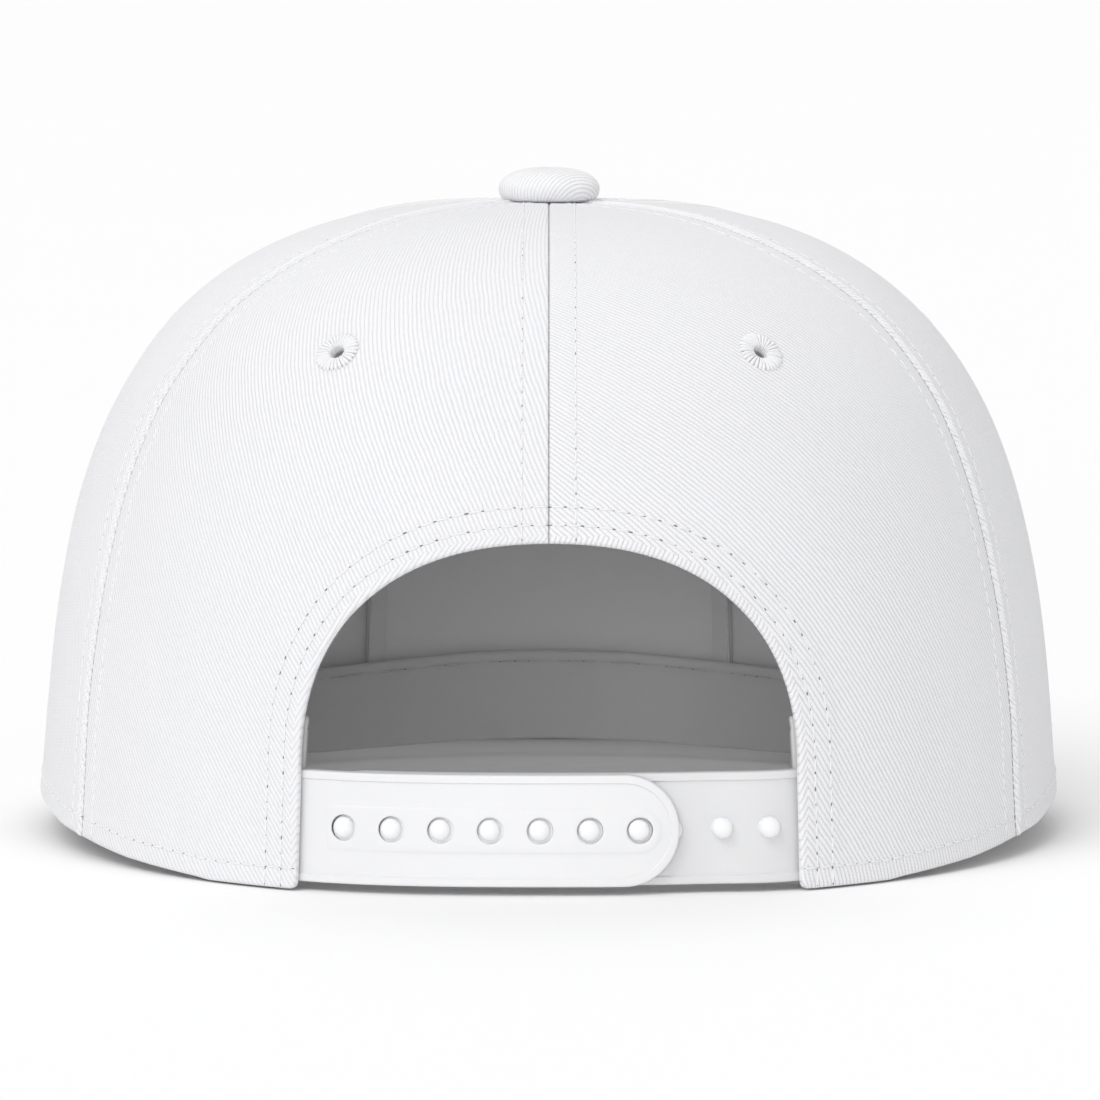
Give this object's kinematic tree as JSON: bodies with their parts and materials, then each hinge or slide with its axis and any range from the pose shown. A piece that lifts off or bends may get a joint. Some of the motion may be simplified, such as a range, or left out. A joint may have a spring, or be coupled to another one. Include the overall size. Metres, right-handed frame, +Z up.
{
  "type": "snapback cap",
  "caption": "Six-panel fabric cap with a flat brim, a covered top button, stitched eyelets and a snap strap across an arched rear opening.",
  "frame": {"origin": "under the middle of the cap's box, on the surface that it rests on", "axes": "+Y towards the front of the brim, +X to the right as seen from behind, +Z up"},
  "size_m": [0.1892, 0.265, 0.122],
  "materials": {
    "twill": "white cotton twill",
    "thread": "white embroidery thread",
    "lining": "white cotton, plain",
    "strap_plastic": "white, slightly satin"
  },
  "bodies": {
    "root": {"panel_rear_left": "twill", "panel_rear_right": "twill", "panel_side_left": "twill", "panel_side_right": "twill", "panel_front_left": "twill", "panel_front_right": "twill", "eyelet_rear_left": "thread", "eyelet_rear_right": "thread", "eyelet_side_left": "thread", "eyelet_side_right": "thread", "eyelet_front_left": "thread", "eyelet_front_right": "thread", "button": "twill", "brim": "twill", "sweatband": "lining", "front_stiffener": "lining", "stiffener_tape_left": "lining", "stiffener_tape_right": "lining", "strap_left": "strap_plastic", "strap_right": "strap_plastic"}
  },
  "joints": []
}
